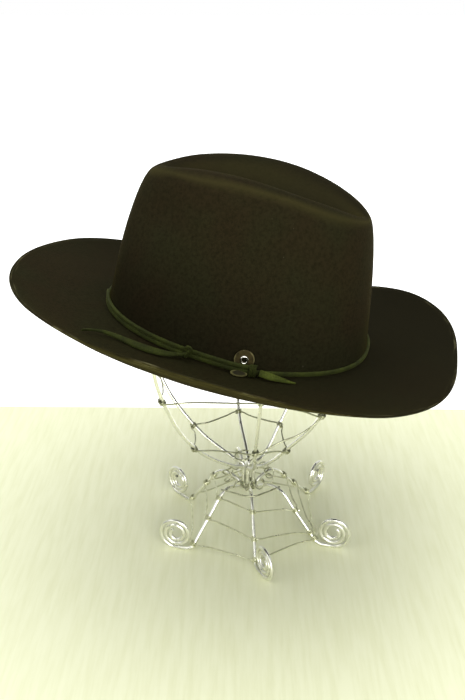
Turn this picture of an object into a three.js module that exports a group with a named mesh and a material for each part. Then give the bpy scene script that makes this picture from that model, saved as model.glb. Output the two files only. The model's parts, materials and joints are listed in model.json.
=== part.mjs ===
// A wide-brimmed wool felt hat with a suede lace round its crown, resting on a wire hat stand.
// Millimetres, +Z up. The hat's front points along -Y and the wearer's left side along +X.
// The origin is on the floor under the middle of the whole.
import * as THREE from 'three';
import { mergeVertices } from 'three/addons/utils/BufferGeometryUtils.js';

const degrees = Math.PI / 180;
const gap = 0.3; // clear space kept between pieces that touch on the real object

// ---- driving dimensions of the hat, in its own frame: brim plane at z = 0, crown above it ----

const felt = { thickness: 2, columns: 48 };

// How far the brim reaches beyond the crown, and how high its edge lies, going round from the front.
const brimRows = [
  { around: 0, reach: 79, rise: 17 },
  { around: 45, reach: 75, rise: 18 },
  { around: 90, reach: 83, rise: 23 },
  { around: 135, reach: 81, rise: 13 },
  { around: 180, reach: 70, rise: 17 },
  { around: 225, reach: 86, rise: 24 },
  { around: 270, reach: 81.5, rise: -16 },
  { around: 315, reach: 82, rise: 9 },
];
const brimCurl = { ends: 1.02, sides: 3.9 }; // power of the rise: a high power curls only the last bit
const footSway = 4.3; // the crown's foot is higher by this at the front and back, lower at the sides
const breakRadius = 4; // the curve where the brim turns up into the crown

// Level outlines of the crown: half-lengths to front and back of the middle, half-width, squareness.
const crownFoot = { front: 102.5, back: 102.5, side: 85, middle: 0, square: 2.5 };
const crownShoulder = { front: 100, back: 89, side: 76.5, middle: 0, square: 2.5 };
const crownRidge = { front: 98.5, back: 62.5, side: 53.5, middle: 16, square: 1.62 };
const ridgeHeight = { front: 111, back: 108, crown: 16 }; // ends of the ridge, and its rise between them
const shoulderSquareness = 2.85;
const crease = { front: -58, back: 66, depth: 24, endDepth: 13 };

// Dents pressed into the crown: angle round from the front, height, depth, and spread both ways.
const dents = [
  { name: 'left pinch', around: 38, height: 86, depth: 9, wide: 24, tall: 22 },
  { name: 'right pinch', around: -38, height: 86, depth: 9, wide: 24, tall: 22 },
];

const seat = { x: -8, y: -5, z: 181.5, tilt: 10.4, lean: 3.45, turn: -11 }; // how the hat lies on its stand

// ---- the felt: crown and brim in one piece ----

// A point of an egg-shaped level outline, at an angle round from the front.
function outlinePoint(around, outline) {
  const s = Math.sin(around);
  const c = Math.cos(around);
  const length = c > 0 ? outline.front : outline.back;
  const n = outline.square;
  const radius = (Math.abs(s / outline.side) ** n + Math.abs(c / length) ** n) ** (-1 / n);
  return new THREE.Vector2(radius * s, outline.middle - radius * c);
}

// Smooth value round the brim from its eight rows.
function roundBrim(around, column) {
  const step = 45 * degrees;
  const place = (((around / step) % 8) + 8) % 8;
  const row = Math.floor(place);
  const t = place - row;
  const [a, b, c, d] = [-1, 0, 1, 2].map((k) => brimRows[(row + k + 8) % 8][column]);
  return b + 0.5 * t * (c - a + t * (2 * a - 5 * b + 4 * c - d + t * (3 * (b - c) + d - a)));
}

// A point of the brim's top: out = 0 at the crown, 1 at the edge.
function brimPoint(around, out) {
  const foot = outlinePoint(around, crownFoot);
  const distance = roundBrim(around, 'reach') * out;
  const flat = foot.clone().addScaledVector(foot.clone().normalize(), distance);
  const power = brimCurl.ends + (brimCurl.sides - brimCurl.ends) * Math.sin(around) ** 2;
  const turnUp = Math.max(0, breakRadius - distance);
  const fillet = breakRadius - Math.sqrt(breakRadius ** 2 - turnUp ** 2);
  const sway = footSway * Math.cos(2 * around) * (1 - out) ** 2;
  return new THREE.Vector3(flat.x, flat.y, roundBrim(around, 'rise') * out ** power + fillet + sway);
}

function heightOfRidge(y) {
  const front = crownRidge.middle - crownRidge.front;
  const back = crownRidge.middle + crownRidge.back;
  const t = THREE.MathUtils.clamp((y - front) / (back - front), 0, 1);
  return THREE.MathUtils.lerp(ridgeHeight.front, ridgeHeight.back, t) + ridgeHeight.crown * 4 * t * (1 - t);
}

// A point of the crown's wall: up = 0 at the break, 1 on the ridge.
function wallPoint(around, up) {
  const climb = Math.sin((up * Math.PI) / 2) ** (2 / shoulderSquareness);
  const turnIn = 1 - Math.cos((up * Math.PI) / 2) ** (2 / shoulderSquareness);
  const ridge = outlinePoint(around, crownRidge);
  const wall = outlinePoint(around, crownFoot).lerp(outlinePoint(around, crownShoulder), climb);
  const flat = wall.lerp(ridge, turnIn);
  const foot = breakRadius + footSway * Math.cos(2 * around);
  const z = THREE.MathUtils.lerp(foot, heightOfRidge(ridge.y), climb);
  const point = new THREE.Vector3(flat.x, flat.y, z);
  for (const dent of dents) {
    const turn = around - dent.around * degrees;
    const sideways = Math.atan2(Math.sin(turn), Math.cos(turn)) * flat.length();
    const away = (sideways / dent.wide) ** 2 + ((z - dent.height) / dent.tall) ** 2;
    const push = dent.depth * Math.exp(-away);
    point.x -= (flat.x / flat.length()) * push;
    point.y -= (flat.y / flat.length()) * push;
  }
  return point;
}

// A point of the sunken top: inward = 0 on the ridge, 1 on the floor of the centre crease.
function topPoint(around, inward) {
  const ridge = wallPoint(around, 1);
  const t = (1 - Math.cos(around)) / 2;
  const floorY = THREE.MathUtils.lerp(crease.front, crease.back, t);
  const depth = THREE.MathUtils.lerp(crease.endDepth, crease.depth, Math.sin(Math.PI * t));
  const floor = new THREE.Vector3(0, floorY, heightOfRidge(floorY) - depth);
  const fall = (1 - Math.cos(Math.PI * inward)) / 2;
  const point = ridge.clone().lerp(floor, inward);
  point.z = THREE.MathUtils.lerp(ridge.z, floor.z, fall);
  return point;
}

// Rows of the felt from the brim's edge up over the crown to the crease. Brim rows are given as a share
// of the reach or, near the crown, as a distance in millimetres.
const feltRows = [
  ...[1, 0.96, 0.9, 0.8, 0.65, 0.45, 0.25].map((out) => ({ zone: brimPoint, at: out })),
  ...[4, 1.5].map((distance) => ({ zone: brimPoint, near: distance })),
  ...[0, 0.1, 0.22, 0.35, 0.48, 0.61, 0.73, 0.83, 0.92].map((up) => ({ zone: wallPoint, at: up })),
  ...[0, 0.12, 0.32, 0.6, 1].map((inward) => ({ zone: topPoint, at: inward })),
];

function feltPoint(row, around) {
  return row.zone(around, row.near ? row.near / roundBrim(around, 'reach') : row.at);
}

// Outward direction of the felt's upper skin, from neighbouring points.
function feltNormal(index, around) {
  const turn = 0.5 * degrees;
  const row = feltRows[index];
  const along = feltPoint(row, around + turn).sub(feltPoint(row, around - turn));
  const before = feltPoint(feltRows[Math.max(0, index - 1)], around);
  const after = feltPoint(feltRows[Math.min(feltRows.length - 1, index + 1)], around);
  return along.cross(after.sub(before)).normalize();
}

function makeFelt() {
  const upper = [];
  const lower = [];
  feltRows.forEach((row, i) => {
    for (let j = 0; j < felt.columns; j += 1) {
      const around = (j / felt.columns) * 2 * Math.PI;
      const last = i === feltRows.length - 1;
      const point = feltPoint(row, around);
      const normal = last ? new THREE.Vector3(0, 0, 1) : feltNormal(i, around);
      upper.push(point);
      lower.push(point.clone().addScaledVector(normal, -felt.thickness));
    }
  });
  const triangles = [];
  const quad = (a, b, c, d) => triangles.push(a, b, c, c, b, d);
  const half = upper.length;
  for (let i = 0; i < feltRows.length - 1; i += 1) {
    for (let j = 0; j < felt.columns; j += 1) {
      const here = i * felt.columns + j;
      const next = i * felt.columns + ((j + 1) % felt.columns);
      quad(here, next, here + felt.columns, next + felt.columns);
      quad(next + half, here + half, next + half + felt.columns, here + half + felt.columns);
      if (i === 0) quad(here + half, next + half, here, next);
    }
  }
  return closedSolid([...upper, ...lower], triangles);
}

// ---- helpers for solids and wires ----

const wireSides = 5;

// A closed body from points and triangles; triangles that shrink to nothing are dropped.
function closedSolid(points, triangles) {
  const loose = new THREE.BufferGeometry();
  const numbers = points.flatMap((p) => [p.x, p.y, p.z]);
  loose.setAttribute('position', new THREE.Float32BufferAttribute(numbers, 3));
  loose.setIndex(triangles);
  return outwardSolid(loose);
}

function outwardSolid(geometry) {
  geometry.deleteAttribute('normal');
  geometry.deleteAttribute('uv');
  const merged = mergeVertices(geometry, 1e-3);
  const position = merged.getAttribute('position');
  const index = merged.getIndex().array;
  const kept = [];
  let volume = 0;
  const [a, b, c] = [new THREE.Vector3(), new THREE.Vector3(), new THREE.Vector3()];
  for (let i = 0; i < index.length; i += 3) {
    const [p, q, r] = [index[i], index[i + 1], index[i + 2]];
    if (p === q || q === r || r === p) continue;
    a.fromBufferAttribute(position, p);
    b.fromBufferAttribute(position, q);
    c.fromBufferAttribute(position, r);
    volume += a.dot(b.cross(c)) / 6;
    kept.push(p, q, r);
  }
  if (volume < 0) kept.reverse();
  merged.setIndex(kept);
  merged.computeVertexNormals();
  return merged;
}

function wireSection(radius) {
  return Array.from({ length: wireSides }, (_, k) => {
    const turn = (k / wireSides) * 2 * Math.PI;
    return new THREE.Vector2(radius * Math.cos(turn), radius * Math.sin(turn));
  });
}

// A wire with closed ends along a smooth curve through the points.
function wire(points, radius, steps) {
  const extrudePath = new THREE.CatmullRomCurve3(points, false, 'centripetal');
  const section = new THREE.Shape(wireSection(radius));
  return outwardSolid(new THREE.ExtrudeGeometry(section, { steps, bevelEnabled: false, extrudePath }));
}

// A closed loop swept round a ring of places. Each place has a centre and two directions across it.
function loop(places, section) {
  const points = [];
  const triangles = [];
  const count = section.length;
  places.forEach((place, i) => {
    for (const corner of section) {
      const point = place.centre.clone().addScaledVector(place.across, corner.x);
      points.push(point.addScaledVector(place.up, corner.y));
    }
    const start = i * count;
    const next = ((i + 1) % places.length) * count;
    for (let k = 0; k < count; k += 1) {
      const l = (k + 1) % count;
      triangles.push(start + k, next + k, start + l, start + l, next + k, next + l);
    }
  });
  return closedSolid(points, triangles);
}

// A flat strip with closed ends along a curve, as wide as its rows say at each place.
function strip(rows, thickness, steps) {
  const path = new THREE.CatmullRomCurve3(rows.map((row) => row.centre), false, 'centripetal');
  const points = [];
  const triangles = [];
  for (let i = 0; i <= steps; i += 1) {
    const t = i / steps;
    const centre = path.getPoint(t);
    const row = Math.min(Math.floor(t * (rows.length - 1)), rows.length - 2);
    const part = t * (rows.length - 1) - row;
    const width = THREE.MathUtils.lerp(rows[row].width, rows[row + 1].width, part);
    const face = rows[row].face.clone().lerp(rows[row + 1].face, part);
    const along = path.getTangent(t);
    const across = face.clone().cross(along).normalize();
    const out = along.clone().cross(across);
    for (const corner of laceSection(width, thickness)) {
      points.push(centre.clone().addScaledVector(out, corner.x).addScaledVector(across, corner.y));
    }
  }
  const count = points.length / (steps + 1);
  for (let i = 0; i < steps; i += 1) {
    for (let k = 0; k < count; k += 1) {
      const [a, b] = [i * count + k, i * count + ((k + 1) % count)];
      triangles.push(a, a + count, b, b, a + count, b + count);
    }
  }
  for (let k = 1; k < count - 1; k += 1) {
    triangles.push(0, k, k + 1);
    triangles.push(steps * count, steps * count + k + 1, steps * count + k);
  }
  return closedSolid(points, triangles);
}

// Rounded section of the lace: x across its thickness, y across its width.
function laceSection(width, thickness) {
  const [w, t] = [width / 2, thickness / 2];
  const corners = [[t, flatShare * w], [0, w], [-t, flatShare * w]];
  return [...corners, ...corners.map(([x, y]) => [-x, -y])].map(([x, y]) => new THREE.Vector2(x, y));
}

function node(name, geometry, material) {
  const mesh = new THREE.Mesh(geometry, new THREE.MeshStandardMaterial(material));
  mesh.name = name;
  return mesh;
}

// ---- the lace, its knot and the rosette, in the hat's frame ----

const flatShare = 0.55; // how much of a lace's width is flat; the rest is rounded off
const lace = { thickness: 2.0, width: 3.4, foot: -1.2, clear: 0.4, places: 48 }; // foot: its lower edge
// The stretch where the lace lies doubled, from in front of the knot to the binding.
const second = { from: 14, to: 106, width: 3.0, rows: 16, steps: 24 };
const rosette = {
  around: 103,
  discRadius: 7,
  discThickness: 1.4,
  standOff: 0.9,
  height: 11.8,
  bulge: 3.8, // how far the laces stand out over the disc
  spread: 12,
};
const eyelet = { radius: 3.2, hole: 1.3, height: 0.9, slope: 0.4 };
const knot = { around: 77.3, length: 7, width: 8.5, thickness: 4.6, height: 3 };
const binding = { around: 107.2, spread: 2.6, thickness: 1.2, height: 7, middle: 2 };

// Routes of the two free ends over the brim: distance out from the crown, and height above the felt.
// lean turns the flat of the lace from facing up towards the wearer's left, in degrees.
const frontEnd = {
  thickness: 1.8,
  steps: 26,
  rows: [
    { around: 73, out: 5.2, lift: 3.4, width: 3.6, lean: 30 },
    { around: 70.5, out: 9.6, lift: 3.2, width: 4.4, lean: 40 },
    { around: 67.4, out: 13.4, lift: 3.1, width: 5.2, lean: 45 },
    { around: 63.7, out: 15.8, lift: 3.1, width: 5.6, lean: 45 },
    { around: 59.9, out: 17.2, lift: 3.0, width: 5.4, lean: 45 },
    { around: 55.6, out: 18.0, lift: 2.9, width: 4.8, lean: 45 },
    { around: 51.9, out: 19.9, lift: 3.0, width: 4.0, lean: 45 },
    { around: 49.1, out: 23.8, lift: 3.4, width: 3.2, lean: 45 },
    { around: 47.8, out: 29.8, lift: 3.8, width: 2.5, lean: 40 },
    { around: 47.7, out: 37.8, lift: 3.5, width: 1.7, lean: 30 },
    { around: 48, out: 43.5, lift: 2.6, width: 0.8, lean: 20 },
  ],
};
const backEnd = {
  thickness: 1.8,
  steps: 14,
  rows: [
    { around: 110, out: 7.2, lift: 5.4, width: 5.2, lean: 50 },
    { around: 113, out: 7.8, lift: 4.4, width: 5.6, lean: 50 },
    { around: 116.2, out: 8.6, lift: 3.6, width: 5.0, lean: 50 },
    { around: 119.6, out: 9.4, lift: 2.7, width: 3.8, lean: 45 },
    { around: 122, out: 10, lift: 2.0, width: 2.2, lean: 40 },
    { around: 124.2, out: 10.6, lift: 1.4, width: 0.8, lean: 30 },
  ],
};

// How far the laces stand off the crown; they bulge out over the disc.
function laceOffset(around) {
  const away = (around / degrees - rosette.around) / rosette.spread;
  return lace.clear + lace.thickness / 2 + rosette.bulge * Math.exp(-(away ** 2));
}

// The first free distance in front of the laces.
function laceFront(around) {
  return laceOffset(around) + lace.thickness / 2 + gap;
}

// A place on the crown's foot: a point at some distance out and height above the break.
function footPlace(around, out, height) {
  const foot = outlinePoint(around, crownFoot);
  const radial = foot.clone().normalize();
  const z = breakRadius + footSway * Math.cos(2 * around) + height;
  const centre = new THREE.Vector3(foot.x + radial.x * out, foot.y + radial.y * out, z);
  return { centre, across: new THREE.Vector3(radial.x, radial.y, 0), up: new THREE.Vector3(0, 0, 1) };
}

function makeBand() {
  const places = Array.from({ length: lace.places }, (_, i) => {
    const around = (i / lace.places) * 2 * Math.PI;
    return footPlace(around, laceOffset(around), lace.foot + lace.width / 2);
  });
  return loop(places, laceSection(lace.width, lace.thickness));
}

function makeSecondRound() {
  const count = second.rows;
  const height = lace.foot + lace.width + gap + second.width / 2;
  const rows = Array.from({ length: count }, (_, i) => {
    const around = THREE.MathUtils.lerp(second.from, second.to, i / (count - 1)) * degrees;
    const place = footPlace(around, laceOffset(around), height);
    return { centre: place.centre, face: place.across, width: i === 0 ? 0.8 : second.width };
  });
  return strip(rows, lace.thickness, second.steps);
}

function makeFreeEnd(route) {
  const rows = route.rows.map((row) => {
    const around = row.around * degrees;
    const centre = brimPoint(around, row.out / roundBrim(around, 'reach'));
    centre.z += row.lift;
    const lean = row.lean * degrees;
    return { centre, face: new THREE.Vector3(Math.sin(lean), 0, Math.cos(lean)), width: row.width };
  });
  return strip(rows, route.thickness, route.steps);
}

// Turns a piece modelled along +Z so that +Z points out of the crown, and sets it at a place.
function onCrown(mesh, around, out, height) {
  const place = footPlace(around * degrees, out, height);
  mesh.position.copy(place.centre);
  mesh.quaternion.setFromRotationMatrix(
    new THREE.Matrix4().makeBasis(place.up.clone().cross(place.across), place.up, place.across),
  );
  return mesh;
}

function makeKnot() {
  const lump = new THREE.SphereGeometry(0.5, 12, 8);
  return outwardSolid(lump.scale(knot.length, knot.width, knot.thickness));
}

function makeDisc() {
  const { discRadius, discThickness } = rosette;
  const disc = new THREE.CylinderGeometry(discRadius, discRadius, discThickness, 20);
  return outwardSolid(disc.rotateX(90 * degrees));
}

function makeEyelet() {
  const { radius, hole, height } = eyelet;
  const outer = [[hole, 0], [radius, 0], [radius - eyelet.slope, 0.8 * height]];
  const inner = [[(radius + hole) / 2, height], [hole, 0.6 * height], [hole, 0]];
  const ring = new THREE.LatheGeometry([...outer, ...inner].map(([x, y]) => new THREE.Vector2(x, y)), 16);
  return outwardSolid(ring.rotateX(90 * degrees));
}

// The thread wraps, as one flat piece across the front of both laces.
function makeBinding() {
  const rows = [-1, 0, 1].map((side) => {
    const around = (binding.around + (side * binding.spread) / 2) * degrees;
    const place = footPlace(around, laceFront(around) + binding.thickness / 2, binding.middle);
    return { centre: place.centre, face: place.across, width: binding.height };
  });
  return strip(rows, binding.thickness, 4);
}

// ---- the wire stand, in its own frame: post on the Z axis, floor at z = 0 ----

const wireRadius = { rib: 1.5, web: 0.65 };
const hubRadius = 6.9; // where the legs and ribs leave the post
const stand = { x: 0, y: 4.5 };
const post = { radius: 5.8, bottom: 35.5, top: 59.5 };
// Reach and height of every leg's shoulder; from there a straight run goes down to the end.
const leg = {
  steps: 44,
  shoulder: [[hubRadius, 38.5], [13, 41.5], [23, 43.5]],
  topHeight: 40,
  run: [0, 0.3, 0.6, 0.85, 1],
  endHeight: 4,
};
// The flat coil that each leg ends in stands upright.
const spiral = { turns: 2.4, outer: 13.8, inner: 4.2, start: -100, stepsPerTurn: 12 };
const rib = { steps: 16, roots: [[hubRadius, 56], [14, 60]], bow: 3, bowAt: 0.62 };

// The six wires, going round from the one under the wearer's left side. angle is from +X in degrees; top and
// end are the reach of the leg's straight run at both ends; coil is the direction of its flat coil, and out
// the distance of the coil's centre from the leg's end. web has the heights of the three rings on the leg.
// low and high are the places of the bowl's two rings on the rib, rim its upper end inside the crown.
const wires = [
  {
    name: '1',
    leg: { angle: 5, top: 31, end: 65.5, coil: 27, out: 14, web: { foot: 6, low: 18, high: 34 } },
    rib: { angle: 13, low: [43, 93], high: [60, 146], rim: [70, 212] },
  },
  {
    name: '2',
    leg: { angle: 59, top: 33.5, end: 65.5, coil: 76, out: 14.5, web: { foot: 6, low: 10.5, high: 27 } },
    rib: { angle: 65, low: [39, 81], high: [68, 120], rim: [80, 212] },
  },
  {
    name: '3',
    leg: { angle: 126.5, top: 31, end: 66.5, coil: 146, out: 16, web: { foot: 6, low: 21, high: 33 } },
    rib: { angle: 125, low: [38, 84], high: [62, 128], rim: [80, 212] },
  },
  {
    name: '4',
    leg: { angle: 184, top: 31, end: 61, coil: 195, out: 15, web: { foot: 6, low: 20, high: 33 } },
    rib: { angle: 185, low: [43, 85], high: [62, 126], rim: [70, 212] },
  },
  {
    name: '5',
    leg: { angle: 241, top: 31, end: 58, coil: 223, out: 18, web: { foot: 6, low: 26, high: 36 } },
    rib: { angle: 245, low: [46, 84], high: [80, 130], rim: [86, 212] },
  },
  {
    name: '6',
    leg: { angle: 313, top: 31, end: 63.5, coil: 257, out: 13.5, web: { foot: 6, low: 24, high: 38 } },
    rib: { angle: 305, low: [47, 88], high: [75, 138], rim: [84, 212] },
  },
];
const bowlShift = -5; // the bowl sits this far to the front of the post

const webSpan = { steps: 3, bow: { leg: 0.012, rib: 0.05 } }; // bow: how far in it bends between two ribs
const webs = [
  { name: 'stand_web_foot', on: 'leg', row: 'foot' },
  { name: 'stand_web_leg_low', on: 'leg', row: 'low' },
  { name: 'stand_web_leg_high', on: 'leg', row: 'high' },
  { name: 'stand_web_bowl_low', on: 'rib', row: 'low' },
  { name: 'stand_web_bowl_high', on: 'rib', row: 'high' },
  { name: 'stand_web_rim', on: 'rib', row: 'rim' },
];

function polar(angle, reach, height) {
  return new THREE.Vector3(reach * Math.cos(angle), reach * Math.sin(angle), height);
}

// A place on a leg's straight run, by its height.
function runPlace(row, height, outward = 0) {
  const share = (leg.topHeight - height) / (leg.topHeight - leg.endHeight);
  const reach = THREE.MathUtils.lerp(row.leg.top, row.leg.end, share);
  return polar(row.leg.angle * degrees, reach + outward, height);
}

function makeLeg(row) {
  const points = leg.shoulder.map(([reach, height]) => polar(row.leg.angle * degrees, reach, height));
  const heights = leg.run.map((share) => THREE.MathUtils.lerp(leg.topHeight, leg.endHeight, share));
  points.push(...heights.map((height) => runPlace(row, height)));
  const coil = row.leg.coil * degrees;
  const outward = new THREE.Vector3(Math.cos(coil), Math.sin(coil), 0);
  const lift = spiral.outer + wireRadius.rib;
  const centre = points[points.length - 1].clone().addScaledVector(outward, row.leg.out);
  const total = Math.round(spiral.turns * spiral.stepsPerTurn);
  for (let i = 0; i <= total; i += 1) {
    const turn = (i / spiral.stepsPerTurn) * 2 * Math.PI + spiral.start * degrees;
    const radius = THREE.MathUtils.lerp(spiral.outer, spiral.inner, i / total);
    const point = centre.clone().addScaledVector(outward, radius * Math.cos(turn));
    points.push(point.setZ(lift + radius * Math.sin(turn)));
  }
  return wire(points, wireRadius.rib, leg.steps);
}

function bowlPoint(row, [reach, height], outward = 0) {
  const point = polar(row.rib.angle * degrees, reach + outward, height);
  point.y += bowlShift;
  return point;
}

function makeRib(row) {
  const { angle, low, high, rim } = row.rib;
  const roots = rib.roots.map(([reach, height]) => polar(angle * degrees, reach, height));
  const bow = [THREE.MathUtils.lerp(high[0], rim[0], rib.bowAt) + rib.bow, (high[1] + rim[1]) / 2];
  const places = [low, high, bow, rim].map((place) => bowlPoint(row, place));
  return wire([...roots, ...places], wireRadius.rib, rib.steps);
}

// A web wire goes round outside the six legs or ribs, bowed in a little between them.
function makeWeb(web) {
  const clear = wireRadius.rib + wireRadius.web + 2 * gap;
  const corners = wires.map((row) => {
    if (web.on === 'rib') return bowlPoint(row, row.rib[web.row], clear + gap);
    const lift = 0.8 * clear; // outside a sloping leg is both out and up
    const corner = runPlace(row, row.leg.web[web.row], lift);
    corner.z += lift;
    return corner;
  });
  const places = [];
  corners.forEach((corner, i) => {
    const next = corners[(i + 1) % corners.length];
    for (let k = 0; k < webSpan.steps; k += 1) {
      const t = k / webSpan.steps;
      const centre = corner.clone().lerp(next, t);
      const slack = 1 - webSpan.bow[web.on] * Math.sin(Math.PI * t);
      centre.multiply(new THREE.Vector3(slack, slack, 1));
      const across = new THREE.Vector3(centre.x, centre.y, 0).normalize();
      places.push({ centre, across, up: new THREE.Vector3(0, 0, 1) });
    }
  });
  return loop(places, wireSection(wireRadius.web));
}

function makePost() {
  const solid = new THREE.CylinderGeometry(post.radius, post.radius, post.top - post.bottom, 12);
  return outwardSolid(solid.rotateX(90 * degrees).translate(0, 0, (post.top + post.bottom) / 2));
}

// ---- the scene ----

const feltFinish = { color: 0x2d2819, roughness: 0.95, metalness: 0 };

const suede = { color: 0x4a5326, roughness: 0.9, metalness: 0 };
const discFinish = { color: 0x5a4a30, roughness: 0.8, metalness: 0 };
const brightMetal = { color: 0xd8d8d4, roughness: 0.2, metalness: 1 };

const hat = new THREE.Group();
hat.add(node('felt_body', makeFelt(), feltFinish));
hat.add(node('lace_band', makeBand(), suede));
hat.add(node('lace_second_round', makeSecondRound(), suede));
hat.add(node('lace_end_front', makeFreeEnd(frontEnd), suede));
hat.add(node('lace_end_back', makeFreeEnd(backEnd), suede));
hat.add(node('lace_binding', makeBinding(), suede));
const knotOut = laceFront(knot.around * degrees) + knot.thickness / 2;
const discOut = rosette.standOff + rosette.discThickness / 2;
const eyeletOut = rosette.standOff + rosette.discThickness + gap;
const rosetteHeight = rosette.height - breakRadius;
const knotMesh = node('lace_knot', makeKnot(), suede);
const discMesh = node('rosette_disc', makeDisc(), discFinish);
const eyeletMesh = node('rosette_eyelet', makeEyelet(), brightMetal);
hat.add(onCrown(knotMesh, knot.around, knotOut, knot.height));
hat.add(onCrown(discMesh, rosette.around, discOut, rosetteHeight));
hat.add(onCrown(eyeletMesh, rosette.around, eyeletOut, rosetteHeight));
hat.rotation.set(-seat.tilt * degrees, -seat.lean * degrees, seat.turn * degrees, 'ZXY');
hat.position.set(seat.x, seat.y, seat.z);

const wireStand = new THREE.Group();
wireStand.add(node('stand_post', makePost(), brightMetal));
wires.forEach((row) => {
  wireStand.add(node(`stand_leg_${row.name}`, makeLeg(row), brightMetal));
  wireStand.add(node(`stand_rib_${row.name}`, makeRib(row), brightMetal));
});
webs.forEach((web) => wireStand.add(node(web.name, makeWeb(web), brightMetal)));
wireStand.position.set(stand.x, stand.y, 0);

// The origin goes on the floor, under the middle of the box round hat and stand.
const whole = new THREE.Group();
whole.add(hat, wireStand);
const box = new THREE.Box3().setFromObject(whole, true);
const middle = box.getCenter(new THREE.Vector3());
whole.position.set(-middle.x, -middle.y, -box.min.z);

export default whole;
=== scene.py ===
import json
import math
import bpy
from mathutils import Euler, Matrix, Vector, kdtree, noise

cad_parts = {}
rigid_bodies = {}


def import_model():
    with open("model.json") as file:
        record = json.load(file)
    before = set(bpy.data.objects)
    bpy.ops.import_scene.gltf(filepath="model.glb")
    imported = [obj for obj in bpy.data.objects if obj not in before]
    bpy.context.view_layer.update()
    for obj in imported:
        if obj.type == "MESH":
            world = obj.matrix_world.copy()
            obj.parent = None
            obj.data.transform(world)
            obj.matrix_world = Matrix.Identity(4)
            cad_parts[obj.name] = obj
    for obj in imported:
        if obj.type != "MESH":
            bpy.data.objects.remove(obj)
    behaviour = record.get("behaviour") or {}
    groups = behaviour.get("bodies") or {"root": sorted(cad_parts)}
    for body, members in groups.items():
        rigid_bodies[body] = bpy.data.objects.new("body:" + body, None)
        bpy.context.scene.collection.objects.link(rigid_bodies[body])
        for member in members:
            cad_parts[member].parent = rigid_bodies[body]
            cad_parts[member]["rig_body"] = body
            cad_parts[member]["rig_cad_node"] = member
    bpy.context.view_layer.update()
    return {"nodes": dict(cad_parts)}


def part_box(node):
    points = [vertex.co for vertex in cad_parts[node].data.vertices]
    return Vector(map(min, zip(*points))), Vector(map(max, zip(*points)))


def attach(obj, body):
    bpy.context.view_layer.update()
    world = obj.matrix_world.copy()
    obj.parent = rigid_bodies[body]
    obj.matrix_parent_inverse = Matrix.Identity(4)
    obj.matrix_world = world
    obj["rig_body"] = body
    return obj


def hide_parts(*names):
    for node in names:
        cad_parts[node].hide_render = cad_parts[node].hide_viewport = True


for leftover in list(bpy.data.objects):
    bpy.data.objects.remove(leftover)
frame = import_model()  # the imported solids; nothing here moves them
mm = 0.001
fullTurn = 2 * math.pi


def clamp(value, low=0, high=1):
    return min(high, max(low, value))


def boxCentre(node):
    lowest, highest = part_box(node)
    return (Vector(lowest) + Vector(highest)) / 2


def solo(piece):
    if bpy.context.object and bpy.context.object.mode != "OBJECT":
        bpy.ops.object.mode_set(mode="OBJECT")
    bpy.ops.object.select_all(action="DESELECT")
    piece.select_set(True)
    bpy.context.view_layer.objects.active = piece


def copyOf(node, name):
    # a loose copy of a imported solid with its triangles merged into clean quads
    source = frame["nodes"][node]
    piece = source.copy()
    piece.data = source.data.copy()
    piece.name = name
    piece.data.name = name
    piece.parent = None
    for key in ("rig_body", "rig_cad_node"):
        del piece[key]
    bpy.context.scene.collection.objects.link(piece)
    solo(piece)
    bpy.ops.mesh.customdata_custom_splitnormals_clear()
    bpy.ops.object.mode_set(mode="EDIT")
    bpy.ops.mesh.select_all(action="SELECT")
    bpy.ops.mesh.remove_doubles(threshold=0.01 * mm)
    bpy.ops.mesh.tris_convert_to_quads(face_threshold=math.pi, shape_threshold=math.pi)
    bpy.ops.object.mode_set(mode="OBJECT")
    bpy.ops.object.shade_smooth()
    return piece


def modify(piece, kind, **settings):
    # adds one modifier and applies it at once
    solo(piece)
    modifier = piece.modifiers.new(kind.title(), kind)
    for name, value in settings.items():
        setattr(modifier, name, value)
    bpy.ops.object.modifier_apply(modifier=modifier.name)


def smooth(piece, levels):
    modify(piece, "SUBSURF", levels=levels, render_levels=levels)
    bpy.ops.object.shade_smooth()


def settle(piece, matrix):
    # puts a piece made at the origin in its place, in its mesh
    piece.data.transform(matrix)
    piece.data.update()


def smoothFlat(piece, levels, corner):
    # rounds a strip along its length, but keeps the corners of its section fairly sharp
    solo(piece)
    bpy.ops.object.mode_set(mode="EDIT")
    bpy.ops.mesh.select_mode(type="EDGE")
    bpy.ops.mesh.select_all(action="DESELECT")
    bpy.ops.mesh.edges_select_sharp(sharpness=math.radians(35))
    bpy.ops.transform.edge_crease(value=corner)
    bpy.ops.mesh.select_mode(type="VERT")
    bpy.ops.object.mode_set(mode="OBJECT")
    smooth(piece, levels)


def joined(pieces, name):
    solo(pieces[0])
    for piece in pieces:
        piece.select_set(True)
    bpy.ops.object.join()
    pieces[0].name = name
    return pieces[0]


def done(piece, material, slotName, *nodes):
    piece.data.materials.clear()
    piece.data.materials.append(material)
    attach(piece, "root")
    if nodes:
        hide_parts(*nodes)
    return piece


def roundWire(name, points, radius, closed=False, fineness=5):
    # a round wire along a smooth curve through the points
    bpy.ops.curve.primitive_bezier_curve_add(location=(0, 0, 0))
    wire = bpy.context.object
    spline = wire.data.splines[0]
    spline.bezier_points.add(len(points) - 2)
    for place, point in zip(spline.bezier_points, points):
        place.co = point
        place.handle_left_type = place.handle_right_type = "AUTO"
    spline.use_cyclic_u = closed
    wire.data.resolution_u = fineness
    wire.data.bevel_depth = radius
    wire.data.bevel_resolution = 2
    wire.data.use_fill_caps = True
    wire.name = name
    solo(wire)
    bpy.ops.object.convert(target="MESH")
    bpy.ops.object.shade_smooth()
    return bpy.context.object


def linear(colour):
    # sRGB hex to linear red, green, blue and alpha
    parts = [int(colour[i : i + 2], 16) / 255 for i in (1, 3, 5)]
    return [p / 12.92 if p <= 0.04045 else ((p + 0.055) / 1.055) ** 2.4 for p in parts] + [1]


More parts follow.
